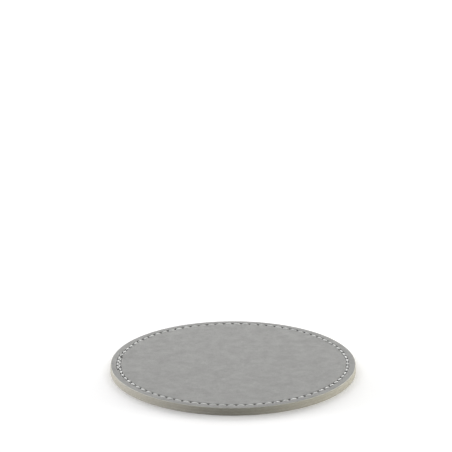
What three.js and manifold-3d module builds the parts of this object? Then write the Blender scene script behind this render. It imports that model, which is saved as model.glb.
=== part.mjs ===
// A round drink coaster: two leatherette discs with a stiffening board between them,
// sewn together around the rim with a lockstitch seam of two threads.
// Millimetres, +Z up, origin at the centre of the underside.
import * as THREE from "three";
import { mergeVertices } from "three/addons/utils/BufferGeometryUtils.js";
import Module from "manifold-3d";

const wasm = await Module();
wasm.setup();

// Driving dimensions: the stack of sheets
const COASTER_DIAMETER = 100;
const COVER_THICKNESS = 1.0; // each leatherette disc
const CORE_THICKNESS = 1.2; // the board between them
const EDGE_ROLL = 1.3; // how far in the softened outer edge of each disc starts
const EDGE_DROP = 0.5; // how far down it runs

// Driving dimensions: the seam
const SEAM_INSET = 3.4; // from the cut edge to the middle of the seam
const STITCH_LENGTH = 3.63; // wanted spacing of the needle holes
const OVERLAP_STITCHES = 4; // sewn twice where the seam closes on itself
const SEAM_CLOSE_ANGLE = (182 * Math.PI) / 180; // direction of the middle of that overlap
const STITCH_GAP = 1.2; // between the end of one stitch and the start of the next
const CHANNEL_SLOPE = 0.3; // width of each sloping side of the sewn-in channel

// Driving dimensions: the thread
const THREAD_WIDTH = 0.7; // lying flat on a face
const THREAD_HEIGHT = 0.45;
const THREAD_IN_HOLE = 0.36; // diameter of the same thread pulled tight in a hole
const NEEDLE_THREAD_PROUD = 0.16; // how far the upper stitches stand above the top face
const NEEDLE_STITCH_ARCH = 0.2; // rise of an upper stitch from its ends to its middle
const CLEARANCE = 0.06; // thread to leatherette, and thread to thread

// Facets
const RIM_SEGMENTS = 60;
const CORNER_DIVISIONS = 1;
const THREAD_SIDES = 4;

// Heights of the stack
const coreBottom = COVER_THICKNESS;
const coreTop = coreBottom + CORE_THICKNESS;
const topFace = coreTop + COVER_THICKNESS;
const interlockHeight = topFace / 2; // the two threads hook round each other halfway down

// The seam circle. The last stitch lands half a stitch short of the first hole, so the
// stitches that close the seam fall between the first ones.
const rimRadius = COASTER_DIAMETER / 2;
const seamRadius = rimRadius - SEAM_INSET;
const stitchesPerTurn = Math.round((2 * Math.PI * seamRadius) / STITCH_LENGTH - 0.5);
const stitchAngle = (2 * Math.PI) / (stitchesPerTurn + 0.5);
const lastHole = stitchesPerTurn + OVERLAP_STITCHES;
const firstHoleAngle = SEAM_CLOSE_ANGLE - (OVERLAP_STITCHES / 2) * stitchAngle;

// Where the seam is sewn twice, the two passes lie side by side.
const laneOffset = (THREAD_WIDTH + CLEARANCE) / 2;
const channelHalfWidth = laneOffset + THREAD_WIDTH / 2 + CLEARANCE;

// In a hole each thread makes a half loop through the other one's half loop.
const legReach = STITCH_GAP / 2; // along the seam, from the hole's middle to a leg
const hookRadius = (THREAD_IN_HOLE + CLEARANCE) / Math.SQRT2;
const holeHalfLength = legReach + THREAD_IN_HOLE / 2 + CLEARANCE;
const holeHalfWidth = hookRadius + THREAD_IN_HOLE / 2 + CLEARANCE;

const leatherette = new THREE.MeshStandardMaterial({ color: 0x979995, roughness: 0.72, metalness: 0 });
const board = new THREE.MeshStandardMaterial({ color: 0xa9a28f, roughness: 0.9, metalness: 0 });
const thread = new THREE.MeshStandardMaterial({ color: 0xdcdcd6, roughness: 0.6, metalness: 0 });

// A closed geometry as a solid that can be cut.
function solidOf(geometry) {
  const bare = geometry.clone();
  bare.deleteAttribute("normal");
  bare.deleteAttribute("uv");
  const merged = mergeVertices(bare);
  return new wasm.Manifold(
    new wasm.Mesh({
      numProp: 3,
      vertProperties: merged.attributes.position.array,
      triVerts: new Uint32Array(merged.index.array),
    }),
  );
}

// A cut solid as a geometry again.
function geometryOf(solid) {
  const mesh = solid.getMesh();
  const geometry = new THREE.BufferGeometry();
  geometry.setAttribute("position", new THREE.BufferAttribute(mesh.vertProperties, 3));
  geometry.setIndex(new THREE.BufferAttribute(mesh.triVerts, 1));
  return geometry;
}

// A profile of (radius, height) points, from axis to axis, turned about the Z axis.
function turned(profile) {
  return new THREE.LatheGeometry(profile, RIM_SEGMENTS).rotateX(Math.PI / 2);
}

function holeAngle(hole) {
  return firstHoleAngle + hole * stitchAngle;
}

// Sideways offset of a hole: inwards on the first pass of the overlap, outwards on the second.
function lane(hole) {
  if (hole <= OVERLAP_STITCHES) return -laneOffset;
  return hole >= stitchesPerTurn ? laneOffset : 0;
}

// All the needle holes, as one cutter that runs well past both faces of any sheet.
function needleHoles() {
  const punch = new THREE.BoxGeometry(2 * holeHalfWidth, 2 * holeHalfLength, 4 * topFace);
  let holes = null;
  for (let hole = 0; hole <= lastHole; hole++) {
    const placed = punch.clone();
    placed.translate(seamRadius + lane(hole), 0, 0);
    placed.rotateZ(holeAngle(hole));
    holes = holes ? holes.add(solidOf(placed)) : solidOf(placed);
  }
  return holes;
}

// A leatherette disc, face up, with its back at height 0. The thread has drawn a channel into
// its face along the seam, and the outer edge of the face is rolled off.
function coverProfile(channelDepth) {
  const shoulder = COVER_THICKNESS - EDGE_DROP;
  const floor = COVER_THICKNESS - channelDepth;
  const profile = new THREE.Path();
  profile.moveTo(0, 0);
  profile.lineTo(rimRadius, 0);
  profile.lineTo(rimRadius, shoulder);
  profile.absellipse(rimRadius - EDGE_ROLL, shoulder, EDGE_ROLL, EDGE_DROP, 0, Math.PI / 2);
  profile.lineTo(seamRadius + channelHalfWidth + CHANNEL_SLOPE, COVER_THICKNESS);
  profile.lineTo(seamRadius + channelHalfWidth, floor);
  profile.lineTo(seamRadius - channelHalfWidth, floor);
  profile.lineTo(seamRadius - channelHalfWidth - CHANNEL_SLOPE, COVER_THICKNESS);
  profile.lineTo(0, COVER_THICKNESS);
  return profile.getPoints(CORNER_DIVISIONS);
}

function coverGeometry(threadProud, stitchArch, holes) {
  const channelDepth = THREAD_HEIGHT + stitchArch + CLEARANCE - threadProud;
  return geometryOf(solidOf(turned(coverProfile(channelDepth))).subtract(holes));
}

function coreGeometry(holes) {
  const profile = [
    new THREE.Vector2(0, 0),
    new THREE.Vector2(rimRadius, 0),
    new THREE.Vector2(rimRadius, CORE_THICKNESS),
    new THREE.Vector2(0, CORE_THICKNESS),
  ];
  return geometryOf(solidOf(turned(profile)).subtract(holes));
}

// The way of one thread along the seam, measured from the interlock plane, with the stitches on
// its positive side. Both tails come up to the face and are trimmed there. Each point has the
// thread's half width and half height.
function threadPath(stitchHeight, stitchArch, hookSide) {
  const inHole = { halfWidth: THREAD_IN_HOLE / 2, halfHeight: THREAD_IN_HOLE / 2 };
  const onFace = { halfWidth: THREAD_WIDTH / 2, halfHeight: THREAD_HEIGHT / 2 };
  const endHeight = stitchHeight - stitchArch;
  const legAngle = legReach / seamRadius;
  const path = [];
  const add = (angle, radius, height, section) => {
    const outward = new THREE.Vector3(Math.cos(angle), Math.sin(angle), 0);
    const point = outward.clone().multiplyScalar(radius).setZ(height);
    path.push({ point, outward, ...section });
  };
  for (let hole = 0; hole <= lastHole; hole++) {
    const angle = holeAngle(hole);
    const radius = seamRadius + lane(hole);
    const nextRadius = seamRadius + lane(hole + 1);
    add(angle - legAngle, radius, endHeight, onFace);
    add(angle - legAngle, radius + hookSide * hookRadius, 0, inHole);
    add(angle, radius, -hookRadius, inHole);
    add(angle + legAngle, radius - hookSide * hookRadius, 0, inHole);
    add(angle + legAngle, radius, endHeight, onFace);
    if (stitchArch === 0 || hole === lastHole) continue;
    add(angle + stitchAngle / 2, (radius + nextRadius) / 2, stitchHeight, onFace);
  }
  return path;
}

// A closed tube along a path, with flat cut ends.
function tubeGeometry(path) {
  const positions = [];
  const triangles = [];
  path.forEach(({ point, outward, halfWidth, halfHeight }, i) => {
    const before = path[Math.max(i - 1, 0)].point;
    const after = path[Math.min(i + 1, path.length - 1)].point;
    const arriving = point.clone().sub(before).normalize();
    const leaving = after.clone().sub(point).normalize();
    const along = arriving.add(leaving).normalize();
    const across = outward.clone().addScaledVector(along, -outward.dot(along)).normalize();
    const over = across.clone().cross(along);
    for (let side = 0; side < THREAD_SIDES; side++) {
      const turn = (2 * Math.PI * side) / THREAD_SIDES;
      const corner = point.clone().addScaledVector(across, halfWidth * Math.cos(turn));
      positions.push(...corner.addScaledVector(over, halfHeight * Math.sin(turn)));
    }
  });
  for (let ring = 0; ring < path.length - 1; ring++) {
    for (let side = 0; side < THREAD_SIDES; side++) {
      const a = ring * THREAD_SIDES + side;
      const b = ring * THREAD_SIDES + ((side + 1) % THREAD_SIDES);
      triangles.push(a, a + THREAD_SIDES, b, b, a + THREAD_SIDES, b + THREAD_SIDES);
    }
  }
  const lastRing = (path.length - 1) * THREAD_SIDES;
  for (let side = 1; side < THREAD_SIDES - 1; side++) {
    triangles.push(0, side, side + 1);
    triangles.push(lastRing, lastRing + side + 1, lastRing + side);
  }
  const geometry = new THREE.BufferGeometry();
  geometry.setAttribute("position", new THREE.Float32BufferAttribute(positions, 3));
  geometry.setIndex(triangles);
  return geometry;
}

function named(name, geometry, material, height) {
  geometry.computeVertexNormals();
  const mesh = new THREE.Mesh(geometry, material);
  mesh.name = name;
  mesh.position.z = height;
  return mesh;
}

const holes = needleHoles();
const coaster = new THREE.Group();
coaster.name = "coaster";

// The three sheets. The base is the same disc as the top one, laid face down.
const topDisc = coverGeometry(NEEDLE_THREAD_PROUD, NEEDLE_STITCH_ARCH, holes);
const topCover = named("top_cover", topDisc, leatherette, coreTop);
const coreBoard = named("core_board", coreGeometry(holes), board, coreBottom);
const baseCover = named("base_cover", coverGeometry(0, 0, holes), leatherette, coreBottom);
baseCover.scale.z = -1;

// The two threads of the seam. The bobbin thread mirrors the needle thread, hooks it from the
// other side and lies straight and level with the underside.
const needleStitch = topFace + NEEDLE_THREAD_PROUD - THREAD_HEIGHT / 2 - interlockHeight;
const bobbinStitch = interlockHeight - THREAD_HEIGHT / 2;
const needleTube = tubeGeometry(threadPath(needleStitch, NEEDLE_STITCH_ARCH, 1));
const bobbinTube = tubeGeometry(threadPath(bobbinStitch, 0, -1));
const needleThread = named("needle_thread", needleTube, thread, interlockHeight);
const bobbinThread = named("bobbin_thread", bobbinTube, thread, interlockHeight);
bobbinThread.scale.z = -1;

coaster.add(topCover, coreBoard, baseCover, needleThread, bobbinThread);

export default coaster;
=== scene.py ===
import math
from collections import namedtuple

import bmesh
import bpy
import numpy as np
from mathutils import Matrix, Vector, noise


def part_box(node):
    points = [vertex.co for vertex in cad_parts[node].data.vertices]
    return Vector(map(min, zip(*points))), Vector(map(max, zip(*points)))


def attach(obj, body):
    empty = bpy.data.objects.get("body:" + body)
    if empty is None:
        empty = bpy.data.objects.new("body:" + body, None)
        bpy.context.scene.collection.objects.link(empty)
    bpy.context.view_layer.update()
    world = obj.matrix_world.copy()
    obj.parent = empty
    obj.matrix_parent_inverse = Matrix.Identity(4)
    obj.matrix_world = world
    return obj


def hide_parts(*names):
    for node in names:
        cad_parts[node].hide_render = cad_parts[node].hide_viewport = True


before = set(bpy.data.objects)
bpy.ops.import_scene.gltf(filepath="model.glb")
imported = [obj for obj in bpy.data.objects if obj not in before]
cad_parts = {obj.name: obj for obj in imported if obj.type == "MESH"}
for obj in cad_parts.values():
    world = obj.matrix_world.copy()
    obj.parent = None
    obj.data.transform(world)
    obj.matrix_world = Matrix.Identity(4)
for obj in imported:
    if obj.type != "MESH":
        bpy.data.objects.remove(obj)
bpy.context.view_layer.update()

# A round leatherette coaster, sewn around the rim with a lockstitch seam. Its five pieces are rebuilt
# here in finer detail, each in the place of the solid that it stands for. Lengths are in millimetres
# unless a name ends in _M.

MM = 0.001
BODY = "root"

# The stack of sheets, from the solids
RIM_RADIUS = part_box("top_cover")[1].x / MM
BASE_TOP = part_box("base_cover")[1].z / MM
CORE_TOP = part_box("core_board")[1].z / MM
TOP_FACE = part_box("top_cover")[1].z / MM
MIDDLE = TOP_FACE / 2

# The seam, as in the solids. The last stitch lands half a stitch short of the first hole, and where
# the seam is sewn twice, the two passes lie in lanes side by side.
SEAM_INSET = 3.4
SEAM_RADIUS = RIM_RADIUS - SEAM_INSET
STITCHES_PER_TURN = 80
STITCHES_AROUND = STITCHES_PER_TURN + 0.5
OVERLAP_STITCHES = 4
SEAM_CLOSE_ANGLE = math.radians(182)
LANE_OFFSET = 0.38
STITCH_ANGLE = 2 * math.pi / STITCHES_AROUND
STITCH_LENGTH = STITCH_ANGLE * SEAM_RADIUS
FIRST_HOLE_ANGLE = SEAM_CLOSE_ANGLE - OVERLAP_STITCHES / 2 * STITCH_ANGLE
LAST_HOLE = STITCHES_PER_TURN + OVERLAP_STITCHES

# Places along the overlap, in stitches from the first hole
LAST_PASS_START = STITCHES_PER_TURN - STITCHES_AROUND
LAST_PASS_END = LAST_PASS_START + OVERLAP_STITCHES
SQUEEZE_LENGTH = 0.7

# The thread, flat on a face, squeezed beside a second line of stitches, and pulled tight in a hole. Where
# it is flat, a power below 1 makes its round section squarer.
THREAD_HALF_WIDTH = 0.46
THREAD_IN_LANE = 0.34
THREAD_HALF_HEIGHT = 0.225
THREAD_IN_HOLE = 0.17
PRESSED_POWER = 0.74
NEEDLE_PROUD = 0.1
NEEDLE_ARCH = 0.15
BOBBIN_ARCH = 0.15

# Its way into a hole, measured along the seam from the hole's middle, and its half loop there
STITCH_END = 0.62
LEG_REACH = 0.5
LOOP_REACH = 0.42
LOOP_RADIUS = 0.3
END_NARROWING = 0.2
FLAT_LEG_SHARE = 0.4
FACE_SHARES = (0.55, 0.25, 0.0)
LEG_SHARES = (0.2, 0.45, 0.85)
LOOP_TURNS = (math.radians(45), math.radians(90))

# Three plies, twisted
PLY_COUNT = 3
PLY_TURN = 1.7
PLY_GROOVE = 0.16
THREAD_SIDES = 18
THREAD_STEP = 0.11

# Needle holes, as half length along the seam and half width across it
INNER_HOLE = (0.78, 0.52)
FACE_HOLE = (0.66, 0.37)
HOLE_ROUNDNESS = 3.0
HOLE_CELLS = 6
LANE_HOLD = 0.3

# The channel that a thread has drawn into a face: its depth under the middle of a stitch and at a hole,
# its width, and how far past the first and last hole, in stitches, it starts and stops fading out
NEEDLE_CHANNEL = (0.37, 0.58)
BOBBIN_CHANNEL = (0.5, 0.65)
CHANNEL_HALF_FLOOR = 0.3
CHANNEL_WALL = 0.34
DIMPLE_SPREAD = 0.15
CHANNEL_FADE = (0.25, 0.55)

# Rows of the fine grid on each side of the seam line, beyond the holes, and rings of the plain disc
BAND_STEPS = (0.6, 0.7, 0.82, 0.96, 1.12, 1.3, 1.55)
FIRST_RING_STEP = 1.2
RING_STEP = 2.5

# The slow unevenness of the top face, which fades out between two radii
WAVE_HEIGHT = 0.012
WAVE_LENGTH = 17.0
WAVE_FADE = (38.0, 44.0)
WAVE_SEED = 1.5

# Edges of the sheets: width and height of a corner, and fibres as size along the edge and across it
FACE_CORNER = (0.5, 0.28)
HIDDEN_CORNER = (0.04, 0.04)
CORNER_STEPS = 8
SIDE_STEPS = 5
EDGE_ROUGHNESS = 0.03
COARSE_FIBRE = (2.4, 0.6)
FINE_FIBRE = (0.7, 0.25)
FINE_FIBRE_SHARE = 0.5
PAINTED_FIBRE = (1.8, 0.125)

# How far the cut edge of each sheet stands back from the rim, and the seed of its fibres
Edge = namedtuple("Edge", "inset seed")
TOP_EDGE = Edge(0.0, 0.0)
CORE_EDGE = Edge(0.05, 7.0)
BASE_EDGE = Edge(0.02, 13.0)

# Camera, from the photograph: the middle of the top face lands on TARGET_PIXEL
FRAME_PIXELS = 452
FOCAL_PIXELS = 2450.4
TARGET_PIXEL = (233.0, 362.45)
VIEW_ELEVATION = math.radians(20.74)
VIEW_ROLL = math.radians(-0.05)
VIEW_DISTANCE_M = 1.0
SENSOR_WIDTH = 36.0

# Stage and light. The coaster shades the floor's glow within CONTACT_SHADE_M. Lamps are soft boxes with
# width and height in metres; azimuth 0 is behind the coaster and 90 is to its right.
FLOOR_HALF_SIZE_M = 3.0
FLOOR_LEVEL_M = -0.00002
FLOOR_COLOUR = (0.97, 0.97, 0.97, 1.0)
FLOOR_GLOW = 0.285
CONTACT_SHADE_M = 0.004
CONTACT_POWER = 2.0
AMBIENT = 0.13
WHITE = (1.0, 1.0, 1.0)
LAMP_DISTANCE_M = 1.2
Lamp = namedtuple("Lamp", "name azimuth elevation width height power colour")
LAMPS = (
    Lamp("left_box", -88.5, 5.5, 0.6, 0.2, 15.6, (1.0, 0.985, 1.0)),
    Lamp("right_box", 90.5, 5.5, 0.6, 0.2, 15.3, (1.0, 0.985, 0.92)),
    Lamp("back_box", 0.0, 20.0, 2.4, 0.7, 27.0, WHITE),
    Lamp("front_fill", 180.0, 50.0, 0.9, 0.9, 2.6, WHITE),
)


def srgb(red, green, blue):
    """A colour as seen, in 0 to 255, as linear values."""
    def linear(value):
        share = value / 255
        return share / 12.92 if share <= 0.04045 else ((share + 0.055) / 1.055) ** 2.4

    return (linear(red), linear(green), linear(blue), 1.0)


FACE_LIGHT = srgb(160, 160, 158)
FACE_DARK = srgb(145, 145, 143)
# Darker colour of random speckles, and painted shade in the creases of the grain
FACE_SPECKLE_AND_CREASE_SHADE = srgb(118, 118, 116)
# Pale colour of the rim's rounded corner: partly wear, partly a painted highlight
PALE_RIM_AND_HIGHLIGHT = srgb(202, 201, 192)
EDGE_LIGHT = srgb(172, 170, 161)
EDGE_DARK = srgb(147, 144, 134)
BOARD_TINT = srgb(149, 145, 133)
THREAD_LIGHT = srgb(215, 216, 215)
THREAD_DARK = srgb(189, 190, 188)

# Noise in the materials: the size of its features, in millimetres or, for streaks, in fibres, the detail
# in them and how rough that detail is
Clouds = namedtuple("Clouds", "size detail roughness")
FACE_CLOUDS = Clouds(4.5, 5.0, 0.75)
FACE_GRAIN = Clouds(0.31, 4.0, 0.6)
CREASE_BENDS = Clouds(0.9, 2.0, 0.5)
CREASE_PATCHES = Clouds(1.6, 2.0, 0.5)
EDGE_CLOUDS = Clouds(11.0, 2.0, 0.5)
EDGE_SPECKS = Clouds(0.25, 3.0, 0.5)
EDGE_STREAKS = Clouds(1.0, 5.0, 0.65)
THREAD_CLOUDS = Clouds(1.7, 2.0, 0.5)
THREAD_FILAMENTS = Clouds(0.11, 3.0, 0.6)

# Spans of noise values over which one look gives way to another
NOISE_SPAN = (0.3, 0.7)
TONE_SPAN = (0.32, 0.68)
GRAIN_SPAN = (0.3, 0.6)
PATCH_SPAN = (0.35, 0.6)
SPECK_SPAN = (0.35, 0.6)
FILAMENT_SPAN = (0.3, 0.65)
THREAD_SPAN = (0.35, 0.65)

# Largest share of a second, darker colour
GRAIN_SHARE = 0.16
# In the creases, the darker colour is painted shade
CREASE_SHADE_SHARE = 0.25
SPECK_SHARE = 0.25
EDGE_CLOUD_SHARE = 0.12
THREAD_CLOUD_SHARE = 0.12
BOARD_TINT_SHARE = 0.35

# Pebbles of the grain, and the creases between them: width in pebbles, how far they wander, and how much
# of them is left where they are faint
PEBBLE_SIZE = 0.8
CREASE_WIDTH = 0.16
CREASE_WANDER = 0.7
FAINT_CREASE = 0.35

# Relief of the materials
CREASE_DEPTH = 0.013
GRAIN_HEIGHT = 0.02
STREAK_HEIGHT = 0.06
SPECK_HEIGHT = 0.03
FILAMENT_HEIGHT = 0.03

# Where a corner of the leatherette is paled, partly by wear and partly by a painted highlight, and where
# its cut edge begins, from 0 on the face to 1 on the side, and how ragged both lines are
WORN_AND_HIGHLIT_SPAN = (0.1, 0.4)
CUT_SPAN = (0.5, 0.85)
RAGGED_REACH = 0.1

# Roughness where the noise is low and where it is high, and what a cut edge adds
FACE_ROUGHNESS = (0.68, 0.6)
THREAD_ROUGHNESS = (0.62, 0.5)
BOARD_ROUGHNESS = (0.85, 0.75)
BOARD_RELIEF_SPAN = (0.03, 0.06)
CUT_ROUGHNESS = 0.25


# Seam layout. A node is a place where a hole can be: every half stitch, once around.

NODES_PER_STITCH = 2
NODES = round(NODES_PER_STITCH * STITCHES_AROUND)
NODE_LENGTH = STITCH_LENGTH / NODES_PER_STITCH
COLUMNS_PER_NODE = HOLE_CELLS + 2
COLUMNS = NODES * COLUMNS_PER_NODE


def smooth_step(x):
    x = np.clip(x, 0.0, 1.0)
    return x * x * (3 - 2 * x)


def hole_angle(hole):
    return FIRST_HOLE_ANGLE + hole * STITCH_ANGLE


def hole_lane(hole):
    """Sideways offset of a hole: inwards on the first pass of the overlap, outwards on the last."""
    if hole <= OVERLAP_STITCHES:
        return -LANE_OFFSET
    return LANE_OFFSET if hole >= STITCHES_PER_TURN else 0.0


def node_lanes():
    """The lane of every node that has a hole, and None for the others."""
    lanes = [None] * NODES
    for hole in range(LAST_HOLE + 1):
        lanes[NODES_PER_STITCH * hole % NODES] = hole_lane(hole)
    return lanes


LANES = node_lanes()
PIERCED = np.repeat([lane is not None for lane in LANES], COLUMNS_PER_NODE)


def seam_turn(angle):
    """Stitches since the first hole, and negative just before it."""
    turn = (angle - FIRST_HOLE_ANGLE) / STITCH_ANGLE
    return (turn + OVERLAP_STITCHES) % STITCHES_AROUND - OVERLAP_STITCHES


def doubled_share(angle):
    """1 where the seam is sewn twice and 0 elsewhere."""
    turn = seam_turn(angle)
    before = smooth_step(1 + (turn - LAST_PASS_START) / SQUEEZE_LENGTH)
    after = smooth_step(1 + (OVERLAP_STITCHES - turn) / SQUEEZE_LENGTH)
    return before * after


def lane_warp(angle):
    """Sideways shift of the fine grid, so that its holes follow their lanes."""
    place = (angle - FIRST_HOLE_ANGLE) / STITCH_ANGLE * NODES_PER_STITCH
    low = np.floor(place).astype(int)
    shift = np.array([lane or 0.0 for lane in LANES])
    share = smooth_step((place - low - LANE_HOLD) / (1 - 2 * LANE_HOLD))
    return shift[low % NODES] * (1 - share) + shift[(low + 1) % NODES] * share


def columns(half_length):
    """Angle of every column of the fine grid, and its offset along the seam from its node."""
    local = np.append(np.linspace(-half_length, half_length, HOLE_CELLS + 1), NODE_LENGTH / 2)
    offset = np.tile(local, NODES)
    node = np.repeat(np.arange(NODES), COLUMNS_PER_NODE)
    return FIRST_HOLE_ANGLE + (node * NODE_LENGTH + offset) / SEAM_RADIUS, offset


def band_points(hole_size):
    """Radius and angle of every point of the fine grid, with the holes rounded and in their lanes."""
    half_length, half_width = hole_size
    outer_rows = np.array(BAND_STEPS)
    hole_rows = np.linspace(-half_width, half_width, HOLE_CELLS + 1)
    rows = np.concatenate([-outer_rows[::-1], hole_rows, outer_rows])
    column_angle, column_offset = columns(half_length)
    offset, across = np.meshgrid(column_offset, rows)
    along_share = np.abs(offset) / half_length
    across_share = np.abs(across) / half_width
    in_hole = np.isclose(np.maximum(np.maximum(along_share, across_share), 1), 1) & PIERCED
    reach = along_share**HOLE_ROUNDNESS + across_share**HOLE_ROUNDNESS
    shrink = np.where(in_hole, np.maximum(reach, 1.0) ** (-1 / HOLE_ROUNDNESS), 1.0)
    angle = column_angle + offset * (shrink - 1) / SEAM_RADIUS
    fade = 1 - smooth_step((np.abs(across) - BAND_STEPS[0]) / (BAND_STEPS[-2] - BAND_STEPS[0]))
    return SEAM_RADIUS + across * shrink + lane_warp(angle) * fade, angle


FACE_BAND = band_points(FACE_HOLE)
INNER_BAND = band_points(INNER_HOLE)
RIM_ANGLES = columns(INNER_HOLE[0])[0]
FIRST_HOLE_ROW = len(BAND_STEPS)
LAST_HOLE_ROW = FIRST_HOLE_ROW + HOLE_CELLS


# The form of a face. A dent moves it towards the middle of its sheet.

def groove(across, turn, depth):
    """Depth of the channel under one line of stitches that has a hole at each whole turn: shallow
    under the middle of a stitch, deep and wider at a hole."""
    shallow, deep = depth
    pull = 0.5 + 0.5 * np.cos(2 * np.pi * turn)
    bottom = shallow + (deep - shallow) * pull
    wall = CHANNEL_WALL + DIMPLE_SPREAD * pull
    return bottom * (1 - smooth_step((np.abs(across) - CHANNEL_HALF_FLOOR) / wall))


def channel(radius, angle, depth):
    """How far the thread has drawn the face in. Where the seam overlaps, the first pass lies inside
    and the last pass, half a stitch out of step, lies outside."""
    across = radius - SEAM_RADIUS
    turn = seam_turn(angle)
    fade_start, fade_end = CHANNEL_FADE
    fade_length = fade_end - fade_start
    has_first = smooth_step((turn + fade_end) / fade_length)
    has_last = smooth_step((LAST_PASS_END + fade_end - turn) / fade_length)
    first_lane = -LANE_OFFSET * (1 - smooth_step(turn - OVERLAP_STITCHES))
    last_lane = LANE_OFFSET * smooth_step(1 + turn - LAST_PASS_START)
    first = groove(across - first_lane, turn, depth) * has_first
    last = groove(across - last_lane, turn - LAST_PASS_START, depth) * has_last
    return np.maximum(first, last)


def wave(radius, angle):
    """The slow unevenness of a glued sheet, fading out towards the seam."""
    x = (radius * np.cos(angle) / WAVE_LENGTH).ravel()
    y = (radius * np.sin(angle) / WAVE_LENGTH).ravel()
    height = [noise.noise(Vector((px, py, WAVE_SEED))) for px, py in zip(x, y)]
    fade_start, fade_end = WAVE_FADE
    fade = 1 - smooth_step((radius - fade_start) / (fade_end - fade_start))
    return WAVE_HEIGHT * np.array(height).reshape(radius.shape) * fade


def needle_dent(radius, angle):
    return channel(radius, angle, NEEDLE_CHANNEL) - wave(radius, angle)


def bobbin_dent(radius, angle):
    return channel(radius, angle, BOBBIN_CHANNEL)


def no_dent(radius, angle):
    return np.zeros_like(radius)


# Sheets

Face = namedtuple("Face", "height dent corner band")


class SheetMesh:
    """Collects the rings of one round sheet and joins them into a closed mesh."""

    def __init__(self):
        self.points = []
        self.cut = []
        self.faces = []

    def ring(self, radius, angle, height, cut=0.0):
        """Adds one ring of points and returns their numbers. cut is its share of bare cut edge."""
        start = len(self.points)
        for r, a, z in np.broadcast(radius, angle, height):
            self.points.append((r * math.cos(a) * MM, r * math.sin(a) * MM, z * MM))
        count = len(self.points) - start
        self.cut.extend([cut] * count)
        return np.arange(start, start + count)

    def join(self, inner, outer, left_open=None):
        """Joins two rings point by point, apart from the cells that stay open."""
        for i in range(len(inner)):
            j = (i + 1) % len(inner)
            if left_open is None or not left_open[i]:
                self.faces.append((inner[i], outer[i], outer[j], inner[j]))

    def join_coarser(self, inner, outer, first):
        """Joins a ring to one with several times its points, whose point number first faces its start."""
        many = len(outer) // len(inner)
        for i in range(len(inner)):
            arc = [outer[(first + i * many + step) % len(outer)] for step in range(many + 1)]
            self.faces.append((inner[i], *arc, inner[(i + 1) % len(inner)]))

    def cap(self, ring, height):
        """Closes a ring to a point on the axis."""
        middle = self.ring(0.0, 0.0, [height])[0]
        for i in range(len(ring)):
            self.faces.append((middle, ring[i], ring[(i + 1) % len(ring)]))

    def made(self, name):
        mesh = bpy.data.meshes.new(name)
        mesh.from_pydata(self.points, [], [tuple(map(int, face)) for face in self.faces])
        cut = mesh.attributes.new("cut", "FLOAT", "POINT")
        cut.data.foreach_set("value", self.cut)
        return mesh


def plain_disc(sheet, outside, height):
    """The middle of a face, inside its fine band. Its first ring has two points for each node, and the
    others have one."""
    middle_column = HOLE_CELLS // 2
    first = middle_column
    column_step = COLUMNS_PER_NODE // 2
    for radius in np.arange(SEAM_RADIUS - BAND_STEPS[-1] - FIRST_RING_STEP, RING_STEP, -RING_STEP):
        angle = RIM_ANGLES[middle_column::column_step]
        inside = sheet.ring(radius, angle, height(np.full(len(angle), radius), angle))
        if len(inside) < len(outside):
            sheet.join_coarser(inside, outside, first)
        else:
            sheet.join(inside, outside)
        outside = inside
        first = 0
        column_step = COLUMNS_PER_NODE
    sheet.cap(outside, height(np.zeros(1), np.zeros(1))[0])


def face_rings(sheet, face, inward):
    """One face of a sheet. Returns the rings of the fine band around its seam."""
    def height(radius, angle):
        return face.height + inward * face.dent(radius, angle)

    band = [sheet.ring(r, a, height(r, a)) for r, a in zip(*face.band)]
    open_cells = PIERCED & (np.arange(COLUMNS) % COLUMNS_PER_NODE < HOLE_CELLS)
    for row, (inner, outer) in enumerate(zip(band, band[1:])):
        sheet.join(inner, outer, open_cells if FIRST_HOLE_ROW <= row < LAST_HOLE_ROW else None)
    plain_disc(sheet, band[0], height)
    return band


def hole_walls(sheet, upper, lower):
    """The sides of the needle holes, between the two faces of a sheet."""
    rows = range(FIRST_HOLE_ROW, LAST_HOLE_ROW)
    for node in range(NODES):
        if LANES[node] is None:
            continue
        first = node * COLUMNS_PER_NODE
        last = first + HOLE_CELLS
        outline = [(FIRST_HOLE_ROW, column) for column in range(first, last)]
        outline += [(row, last) for row in rows]
        outline += [(LAST_HOLE_ROW, column) for column in range(last, first, -1)]
        outline += [(row + 1, first) for row in reversed(rows)]
        for (r0, c0), (r1, c1) in zip(outline, outline[1:] + outline[:1]):
            sheet.faces.append((upper[r0][c0], upper[r1][c1], lower[r1][c1], lower[r0][c0]))


def corner_profile(radius, face, inward):
    """Radius, height and share of cut edge around a rounded corner, from a flat face to the side."""
    wide, tall = face.corner
    profile = []
    for share in np.linspace(0, 1, CORNER_STEPS + 1):
        angle = share * math.pi / 2
        drop = tall * (1 - math.cos(angle))
        profile.append((radius - wide * (1 - math.sin(angle)), face.height + inward * drop, share))
    return profile


def side_profile(radius, upper, lower):
    """Radius, height and share of cut edge from the upper face, down the side, to the lower face."""
    side_top = upper.height - upper.corner[1]
    side_bottom = lower.height + lower.corner[1]
    profile = corner_profile(radius, upper, -1)
    profile += [(radius, z, 1.0) for z in np.linspace(side_top, side_bottom, SIDE_STEPS + 1)[1:-1]]
    return profile + corner_profile(radius, lower, 1)[::-1]


def fibres(height, size, seed):
    """A noise value for each column of a cut edge."""
    along, tall = size
    x = RIM_RADIUS * np.cos(RIM_ANGLES) / along
    y = RIM_RADIUS * np.sin(RIM_ANGLES) / along
    return np.array([noise.noise(Vector((px, py, height / tall + seed))) for px, py in zip(x, y)])


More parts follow.
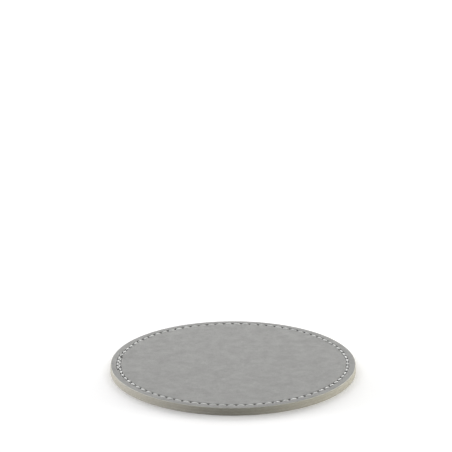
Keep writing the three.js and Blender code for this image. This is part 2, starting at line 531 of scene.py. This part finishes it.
def side_rings(sheet, upper, lower, edge):
    """The rings of a sheet's cut edge, from the upper face to the lower one."""
    rings = []
    for radius, height, cut in side_profile(RIM_RADIUS - edge.inset, upper, lower):
        coarse = fibres(height, COARSE_FIBRE, edge.seed)
        fine = fibres(height, FINE_FIBRE, edge.seed)
        rough = EDGE_ROUGHNESS * cut * (coarse + FINE_FIBRE_SHARE * fine - 1)
        rings.append(sheet.ring(radius + rough, RIM_ANGLES, height, cut))
    return rings


def sheet_object(name, upper, lower, edge):
    """A closed round sheet with needle holes."""
    sheet = SheetMesh()
    upper_band = face_rings(sheet, upper, -1)
    lower_band = face_rings(sheet, lower, 1)
    hole_walls(sheet, upper_band, lower_band)
    rings = [upper_band[-1], *side_rings(sheet, upper, lower, edge), lower_band[-1]]
    for above, below in zip(rings, rings[1:]):
        sheet.join(above, below)
    return linked(name, sheet.made(name))


def linked(name, mesh):
    """A smooth object of that mesh, facing out, on the coaster's body."""
    mesh.validate()
    work = bmesh.new()
    work.from_mesh(mesh)
    bmesh.ops.recalc_face_normals(work, faces=work.faces)
    work.to_mesh(mesh)
    work.free()
    mesh.polygons.foreach_set("use_smooth", [True] * len(mesh.polygons))
    made = bpy.data.objects.new(name, mesh)
    bpy.context.scene.collection.objects.link(made)
    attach(made, BODY)
    return made


# Threads

def way_into_hole(stitch_height, arch):
    """The way of a thread from a stitch to the middle of its next hole, as points of distance along the
    seam, distance sideways, height above the middle of the stack and flatness."""
    end_height = stitch_height - arch
    way = []
    for share in FACE_SHARES:
        along = STITCH_END + share * (STITCH_LENGTH / 2 - STITCH_END)
        drop = (1 - share) ** 2
        way.append((-along, 0.0, stitch_height - arch * drop, 1 - END_NARROWING * drop))
    for share in LEG_SHARES:
        eased = smooth_step(share)
        along = LEG_REACH + (LOOP_REACH - LEG_REACH) * eased
        flatness = (1 - END_NARROWING) * (1 - smooth_step(share / FLAT_LEG_SHARE))
        way.append((-along, LOOP_RADIUS * eased, end_height * (1 - share), flatness))
    for turn in LOOP_TURNS:
        side = math.cos(turn)
        way.append((-LOOP_REACH * side, LOOP_RADIUS * side, -LOOP_RADIUS * math.sin(turn), 0.0))
    return way


def stitch_guide(stitch_height, arch, hook_side):
    """Guide points of one thread, from its cut start to its cut end: angle, radius, height above the
    middle of the stack, half width, half height and flatness. Both ends are trimmed at the face."""
    arriving = way_into_hole(stitch_height, arch)
    leaving = [(-along, -side, height, flatness) for along, side, height, flatness in arriving[-2::-1]]
    past_end = len(FACE_SHARES) - 1
    guide = []

    def add_point(angle, radius, height, flatness):
        doubled = doubled_share(angle)
        on_face = THREAD_HALF_WIDTH * (1 - doubled) + THREAD_IN_LANE * doubled
        wide = THREAD_IN_HOLE + (on_face - THREAD_IN_HOLE) * flatness
        tall = THREAD_IN_HOLE + (THREAD_HALF_HEIGHT - THREAD_IN_HOLE) * flatness
        guide.append((angle, radius, height, wide, tall, flatness))

    for hole in range(LAST_HOLE + 1):
        radius = SEAM_RADIUS + hole_lane(hole)
        way = arriving + leaving
        if hole == 0:
            way = way[past_end:]
        if hole == LAST_HOLE:
            way = way[: len(way) - past_end]
        for along, side, height, flatness in way:
            add_point(hole_angle(hole) + along / SEAM_RADIUS, radius + hook_side * side, height, flatness)
        if hole < LAST_HOLE:
            next_radius = SEAM_RADIUS + hole_lane(hole + 1)
            add_point(hole_angle(hole + 0.5), (radius + next_radius) / 2, stitch_height, 1.0)
    return np.array(guide)


def smooth_path(guide):
    """Evenly spaced points on a smooth curve through the guide points, as x, y, z, half width, half height
    and flatness, and the length along it of each."""
    angle, radius = guide[:, 0], guide[:, 1]
    flat = np.column_stack([radius * np.cos(angle), radius * np.sin(angle), guide[:, 2:]])
    gaps = np.linalg.norm(np.diff(flat[:, :3], axis=0), axis=1)
    length = np.concatenate([[0.0], np.cumsum(gaps)])
    slope = np.gradient(flat, length, axis=0)
    wanted = np.linspace(0, length[-1], int(length[-1] / THREAD_STEP))
    low = np.clip(np.searchsorted(length, wanted, side="right") - 1, 0, len(length) - 2)
    span = (length[low + 1] - length[low])[:, None]
    t = (wanted - length[low])[:, None] / span
    start = (1 + 2 * t) * (1 - t) ** 2 * flat[low] + t * (1 - t) ** 2 * span * slope[low]
    finish = t * t * (3 - 2 * t) * flat[low + 1] + t * t * (t - 1) * span * slope[low + 1]
    return start + finish, wanted


def unit(vectors):
    return vectors / np.linalg.norm(vectors, axis=1)[:, None]


def pressed(value, power):
    """A sine or cosine, made squarer by a power below 1."""
    return np.sign(value) * np.abs(value) ** power


def thread_object(name, stitch_height, arch, hook_side, up):
    """A twisted thread as one closed tube. up is 1 for the upper thread and -1 for the lower one."""
    path, length = smooth_path(stitch_guide(stitch_height, arch, hook_side))
    centre, half_width, half_height, flatness = np.split(path, [3, 4, 5], axis=1)
    tangent = unit(np.gradient(centre, axis=0))
    outward = unit(centre * np.array([1.0, 1.0, 0.0]))
    across = unit(outward - tangent * (outward * tangent).sum(axis=1)[:, None])
    over = np.cross(across, tangent)
    around = np.linspace(0, 2 * np.pi, THREAD_SIDES, endpoint=False)
    twist = 2 * np.pi * length[:, None] / PLY_TURN
    ply = np.abs(np.cos(PLY_COUNT / 2 * (around - twist)))
    reach = 1 - PLY_GROOVE * (1 - ply)
    power = 1 - (1 - PRESSED_POWER) * flatness
    wide = (half_width * reach * pressed(np.cos(around), power))[:, :, None] * across[:, None, :]
    tall = (half_height * reach * pressed(np.sin(around), power))[:, :, None] * over[:, None, :]
    points = centre[:, None, :] + wide + tall
    points[:, :, 2] = MIDDLE + up * points[:, :, 2]
    mesh = bpy.data.meshes.new(name)
    mesh.from_pydata((points.reshape(-1, 3) * MM).tolist(), [], tube_faces(len(path), THREAD_SIDES))
    return linked(name, mesh)


def tube_faces(rings, sides):
    faces = []
    for ring in range(rings - 1):
        for side in range(sides):
            a = ring * sides + side
            b = ring * sides + (side + 1) % sides
            faces.append((a, b, b + sides, a + sides))
    faces.append(tuple(range(sides)))
    faces.append(tuple(range((rings - 1) * sides, rings * sides)))
    return faces


# Materials

# Numbers of a mix node's inputs and outputs, because their names repeat
MIX_SHARE = 0
MIX_VALUES = (2, 3)
MIX_VALUE_OUT = 0
MIX_COLOURS = (6, 7)
MIX_COLOUR_OUT = 2


def add(tree, kind, inputs=None, **settings):
    """A shader node with its settings and inputs. An input is a value or another node's output."""
    node = tree.nodes.new(kind)
    for key, value in settings.items():
        setattr(node, key, value)
    for key, value in (inputs or {}).items():
        if isinstance(value, bpy.types.NodeSocket):
            tree.links.new(value, node.inputs[key])
        else:
            node.inputs[key].default_value = value
    return node


def new_material(name):
    made = bpy.data.materials.new(name)
    made.use_nodes = True
    made.node_tree.nodes.clear()
    return made, made.node_tree


def place_in_mm(tree):
    """The place on the object, in millimetres."""
    coords = add(tree, "ShaderNodeTexCoord").outputs["Object"]
    scaled = add(tree, "ShaderNodeVectorMath", {0: coords, "Scale": 1 / MM}, operation="SCALE")
    return scaled.outputs["Vector"]


def clouds(tree, place, kind, output="Fac"):
    """Noise of that kind, with values around one half."""
    inputs = {"Vector": place, "Scale": 1 / kind.size, "Detail": kind.detail, "Roughness": kind.roughness}
    return add(tree, "ShaderNodeTexNoise", inputs).outputs[output]


def remap(tree, value, span, levels=(0.0, 1.0)):
    """Goes from the first level to the second while the value crosses the span."""
    inputs = {"Value": value}
    inputs["From Min"], inputs["From Max"] = span
    inputs["To Min"], inputs["To Max"] = levels
    return add(tree, "ShaderNodeMapRange", inputs).outputs["Result"]


def blend(tree, share, a, b):
    """Mixes two colours by a share."""
    inputs = {MIX_SHARE: share, MIX_COLOURS[0]: a, MIX_COLOURS[1]: b}
    return add(tree, "ShaderNodeMix", inputs, data_type="RGBA").outputs[MIX_COLOUR_OUT]


def blend_values(tree, share, a, b):
    """Mixes two numbers by a share."""
    inputs = {MIX_SHARE: share, MIX_VALUES[0]: a, MIX_VALUES[1]: b}
    return add(tree, "ShaderNodeMix", inputs).outputs[MIX_VALUE_OUT]


def maths(tree, operation, a, b):
    return add(tree, "ShaderNodeMath", {0: a, 1: b}, operation=operation).outputs[0]


def weighted(tree, a, a_weight, b, b_weight):
    """The sum of two values, each times its weight."""
    return maths(tree, "ADD", maths(tree, "MULTIPLY", a, a_weight), maths(tree, "MULTIPLY", b, b_weight))


def surface(tree, colour, roughness, relief, specular, sheen=0.0):
    """The shader of a material, with relief in millimetres."""
    bump = add(tree, "ShaderNodeBump", {"Height": relief, "Distance": MM, "Strength": 1.0})
    inputs = {
        "Base Color": colour,
        "Roughness": roughness,
        "Normal": bump.outputs["Normal"],
        "Specular IOR Level": specular,
        "Sheen Weight": sheen,
    }
    shader = add(tree, "ShaderNodeBsdfPrincipled", inputs)
    add(tree, "ShaderNodeOutputMaterial", {"Surface": shader.outputs["BSDF"]})


def fibre_place(tree, place):
    """Coordinates that run along a cut edge and across its layers, in sizes of a fibre."""
    along_size, tall = PAINTED_FIBRE
    axes = add(tree, "ShaderNodeSeparateXYZ", {"Vector": place}).outputs
    turn = maths(tree, "ARCTAN2", axes["Y"], axes["X"])
    along = maths(tree, "MULTIPLY", turn, RIM_RADIUS / along_size)
    across = maths(tree, "DIVIDE", axes["Z"], tall)
    return add(tree, "ShaderNodeCombineXYZ", {"X": along, "Y": across}).outputs["Vector"]


def edge_paint(tree, place):
    """Colour and relief of a cut edge: fibres along it, darker specks and a slow change of tone."""
    streaks = clouds(tree, fibre_place(tree, place), EDGE_STREAKS)
    specks = clouds(tree, place, EDGE_SPECKS)
    slow = clouds(tree, place, EDGE_CLOUDS)
    streaked = blend(tree, remap(tree, streaks, NOISE_SPAN), EDGE_DARK, EDGE_LIGHT)
    speck_share = remap(tree, specks, SPECK_SPAN, (SPECK_SHARE, 0.0))
    specked = blend(tree, speck_share, streaked, EDGE_DARK)
    slow_share = remap(tree, slow, NOISE_SPAN, (EDGE_CLOUD_SHARE, 0.0))
    colour = blend(tree, slow_share, specked, EDGE_DARK)
    return colour, weighted(tree, streaks, STREAK_HEIGHT, specks, SPECK_HEIGHT)


def crease_share(tree, place):
    """1 in the creases of a pebble grain and 0 on its pebbles. The creases wander, and fade in places."""
    bend = clouds(tree, place, CREASE_BENDS, output="Color")
    inputs = {0: bend, 1: (CREASE_WANDER,) * 3, 2: place}
    bent = add(tree, "ShaderNodeVectorMath", inputs, operation="MULTIPLY_ADD").outputs["Vector"]
    inputs = {"Vector": bent, "Scale": 1 / PEBBLE_SIZE}
    cells = add(tree, "ShaderNodeTexVoronoi", inputs, feature="DISTANCE_TO_EDGE")
    crease = remap(tree, cells.outputs["Distance"], (0.0, CREASE_WIDTH), (1.0, 0.0))
    patches = clouds(tree, place, CREASE_PATCHES)
    return maths(tree, "MULTIPLY", crease, remap(tree, patches, PATCH_SPAN, (FAINT_CREASE, 1.0)))


def face_paint(tree, place, fine, slow):
    """Colour and relief of a face: a slow change of tone, fine speckles, and the creases of its grain,
    darkened with painted shade.
    """
    crease = crease_share(tree, place)
    tone = blend(tree, remap(tree, slow, TONE_SPAN), FACE_DARK, FACE_LIGHT)
    speckle_share = remap(tree, fine, GRAIN_SPAN, (GRAIN_SHARE, 0.0))
    speckled = blend(tree, speckle_share, tone, FACE_SPECKLE_AND_CREASE_SHADE)
    # Painted shade: the creases of the grain are darkened in colour
    colour = blend(tree, maths(tree, "MULTIPLY", crease, CREASE_SHADE_SHARE), speckled, FACE_SPECKLE_AND_CREASE_SHADE)
    return colour, weighted(tree, crease, -CREASE_DEPTH, fine, GRAIN_HEIGHT)


def leatherette_material():
    """Matte coated fabric with a fine pebble grain, with painted shade in its creases, paled along its rim
    partly by wear and partly by a painted highlight, and its backing on the cut edge.
    """
    made, tree = new_material("leatherette")
    place = place_in_mm(tree)
    fine = clouds(tree, place, FACE_GRAIN)
    slow = clouds(tree, place, FACE_CLOUDS)
    face, face_relief = face_paint(tree, place, fine, slow)
    edge, edge_relief = edge_paint(tree, place)
    cut = add(tree, "ShaderNodeAttribute", attribute_name="cut").outputs["Fac"]
    ragged = maths(tree, "ADD", cut, remap(tree, fine, NOISE_SPAN, (-RAGGED_REACH, RAGGED_REACH)))
    # Painted highlight: the rim's corner is paled, partly for wear and partly for the light that catches it
    worn_and_highlit = blend(tree, remap(tree, ragged, WORN_AND_HIGHLIT_SPAN), face, PALE_RIM_AND_HIGHLIGHT)
    cut_share = remap(tree, ragged, CUT_SPAN)
    colour = blend(tree, cut_share, worn_and_highlit, edge)
    relief = blend_values(tree, cut_share, face_relief, edge_relief)
    face_rough = remap(tree, slow, NOISE_SPAN, FACE_ROUGHNESS)
    roughness = maths(tree, "ADD", face_rough, maths(tree, "MULTIPLY", cut_share, CUT_ROUGHNESS))
    surface(tree, colour, roughness, relief, specular=0.09)
    return made


def board_material():
    """The cut edge of the pressed-fibre board."""
    made, tree = new_material("fibre_board")
    colour, relief = edge_paint(tree, place_in_mm(tree))
    tinted = blend(tree, BOARD_TINT_SHARE, colour, BOARD_TINT)
    roughness = remap(tree, relief, BOARD_RELIEF_SPAN, BOARD_ROUGHNESS)
    surface(tree, tinted, roughness, relief, specular=0.2)
    return made


def thread_material():
    """Pale polyester thread with fine filaments."""
    made, tree = new_material("thread")
    place = place_in_mm(tree)
    filaments = clouds(tree, place, THREAD_FILAMENTS)
    slow = clouds(tree, place, THREAD_CLOUDS)
    tone = blend(tree, remap(tree, filaments, FILAMENT_SPAN), THREAD_DARK, THREAD_LIGHT)
    slow_share = remap(tree, slow, THREAD_SPAN, (THREAD_CLOUD_SHARE, 0.0))
    colour = blend(tree, slow_share, tone, THREAD_DARK)
    roughness = remap(tree, filaments, NOISE_SPAN, THREAD_ROUGHNESS)
    relief = maths(tree, "MULTIPLY", filaments, FILAMENT_HEIGHT)
    surface(tree, colour, roughness, relief, specular=0.2, sheen=0.1)
    return made


# Stage

def background_rays(tree):
    """1 for rays that show the background, straight, mirrored or seen through, and 0 for the others."""
    rays = add(tree, "ShaderNodeLightPath").outputs
    straight_or_mirrored = maths(tree, "MAXIMUM", rays["Is Camera Ray"], rays["Is Glossy Ray"])
    return maths(tree, "MAXIMUM", straight_or_mirrored, rays["Is Transmission Ray"])


def make_floor():
    """A white floor that keeps the coaster's shadow. Its glow stands for light from all around, so it is
    weaker close to the coaster, which hides a part of that light."""
    half = FLOOR_HALF_SIZE_M
    square = ((-half, -half), (half, -half), (half, half), (-half, half))
    corners = [(x, y, FLOOR_LEVEL_M) for x, y in square]
    mesh = bpy.data.meshes.new("floor")
    mesh.from_pydata(corners, [], [(0, 1, 2, 3)])
    made = bpy.data.objects.new("floor", mesh)
    bpy.context.scene.collection.objects.link(made)
    paint, tree = new_material("white_floor")
    unhidden = add(tree, "ShaderNodeAmbientOcclusion", {"Distance": CONTACT_SHADE_M}).outputs["AO"]
    lit = maths(tree, "POWER", unhidden, CONTACT_POWER)
    seen_glow = maths(tree, "MULTIPLY", background_rays(tree), FLOOR_GLOW)
    strength = maths(tree, "MULTIPLY", seen_glow, lit)
    glow = add(tree, "ShaderNodeEmission", {"Strength": strength})
    matte = add(tree, "ShaderNodeBsdfDiffuse", {"Color": FLOOR_COLOUR})
    both = add(tree, "ShaderNodeAddShader", {0: matte.outputs["BSDF"], 1: glow.outputs["Emission"]})
    add(tree, "ShaderNodeOutputMaterial", {"Surface": both.outputs["Shader"]})
    mesh.materials.append(paint)


def make_world():
    """A soft even surround, seen as white."""
    world = bpy.data.worlds.new("surround")
    bpy.context.scene.world = world
    world.use_nodes = True
    tree = world.node_tree
    tree.nodes.clear()
    strength = remap(tree, background_rays(tree), (0.0, 1.0), (AMBIENT, 1.0))
    background = add(tree, "ShaderNodeBackground", {"Color": (*WHITE, 1.0), "Strength": strength})
    add(tree, "ShaderNodeOutputWorld", {"Surface": background.outputs["Background"]})


def make_lamp(lamp):
    """A soft box, aimed at the coaster."""
    turn = math.radians(lamp.azimuth)
    rise = math.radians(lamp.elevation)
    towards = Vector((math.cos(rise) * math.sin(turn), math.cos(rise) * math.cos(turn), math.sin(rise)))
    data = bpy.data.lights.new(lamp.name, "AREA")
    data.shape = "RECTANGLE"
    data.size = lamp.width
    data.size_y = lamp.height
    data.energy = lamp.power
    data.color = lamp.colour
    made = bpy.data.objects.new(lamp.name, data)
    made.location = towards * LAMP_DISTANCE_M
    made.rotation_euler = (-towards).to_track_quat("-Z", "Y").to_euler()
    bpy.context.scene.collection.objects.link(made)


def make_camera():
    """The photograph's view: a long lens, turned so that the coaster lies low in the frame."""
    forward = Vector((0, math.cos(VIEW_ELEVATION), -math.sin(VIEW_ELEVATION)))
    right = Vector((1, 0, 0))
    look = Matrix((right, right.cross(forward), -forward)).transposed()
    middle_pixel = FRAME_PIXELS / 2
    pan = math.atan2(TARGET_PIXEL[0] - middle_pixel, FOCAL_PIXELS)
    pitch = math.atan2(TARGET_PIXEL[1] - middle_pixel, FOCAL_PIXELS)
    for angle, axis in ((pitch, "X"), (pan, "Y"), (VIEW_ROLL, "Z")):
        look = look @ Matrix.Rotation(angle, 3, axis)
    data = bpy.data.cameras.new("camera")
    data.sensor_width = SENSOR_WIDTH
    data.lens = FOCAL_PIXELS * SENSOR_WIDTH / FRAME_PIXELS
    made = bpy.data.objects.new("camera", data)
    place = Vector((0, 0, TOP_FACE * MM)) - forward * VIEW_DISTANCE_M
    made.matrix_world = Matrix.Translation(place) @ look.to_4x4()
    bpy.context.scene.collection.objects.link(made)
    bpy.context.scene.camera = made


# Assembly

def glued_face(height):
    return Face(height, no_dent, HIDDEN_CORNER, INNER_BAND)


def finish_piece(piece, node, material):
    piece.data.materials.append(material)
    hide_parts(node)


def make_sheets():
    leatherette = leatherette_material()
    top_face = Face(TOP_FACE, needle_dent, FACE_CORNER, FACE_BAND)
    underside = Face(0.0, bobbin_dent, FACE_CORNER, FACE_BAND)
    top = sheet_object("top_leatherette", top_face, glued_face(CORE_TOP), TOP_EDGE)
    core = sheet_object("stiffener_board", glued_face(CORE_TOP), glued_face(BASE_TOP), CORE_EDGE)
    base = sheet_object("base_leatherette", glued_face(BASE_TOP), underside, BASE_EDGE)
    finish_piece(top, "top_cover", leatherette)
    finish_piece(core, "core_board", board_material())
    finish_piece(base, "base_cover", leatherette)


def make_threads():
    thread = thread_material()
    needle_height = TOP_FACE + NEEDLE_PROUD - THREAD_HALF_HEIGHT - MIDDLE
    bobbin_height = MIDDLE - THREAD_HALF_HEIGHT
    needle = thread_object("needle_stitches", needle_height, NEEDLE_ARCH, hook_side=1, up=1)
    bobbin = thread_object("bobbin_stitches", bobbin_height, BOBBIN_ARCH, hook_side=-1, up=-1)
    finish_piece(needle, "needle_thread", thread)
    finish_piece(bobbin, "bobbin_thread", thread)


make_camera()
make_sheets()
make_threads()
make_floor()
make_world()
for lamp in LAMPS:
    make_lamp(lamp)
bpy.context.scene.view_settings.view_transform = "Standard"
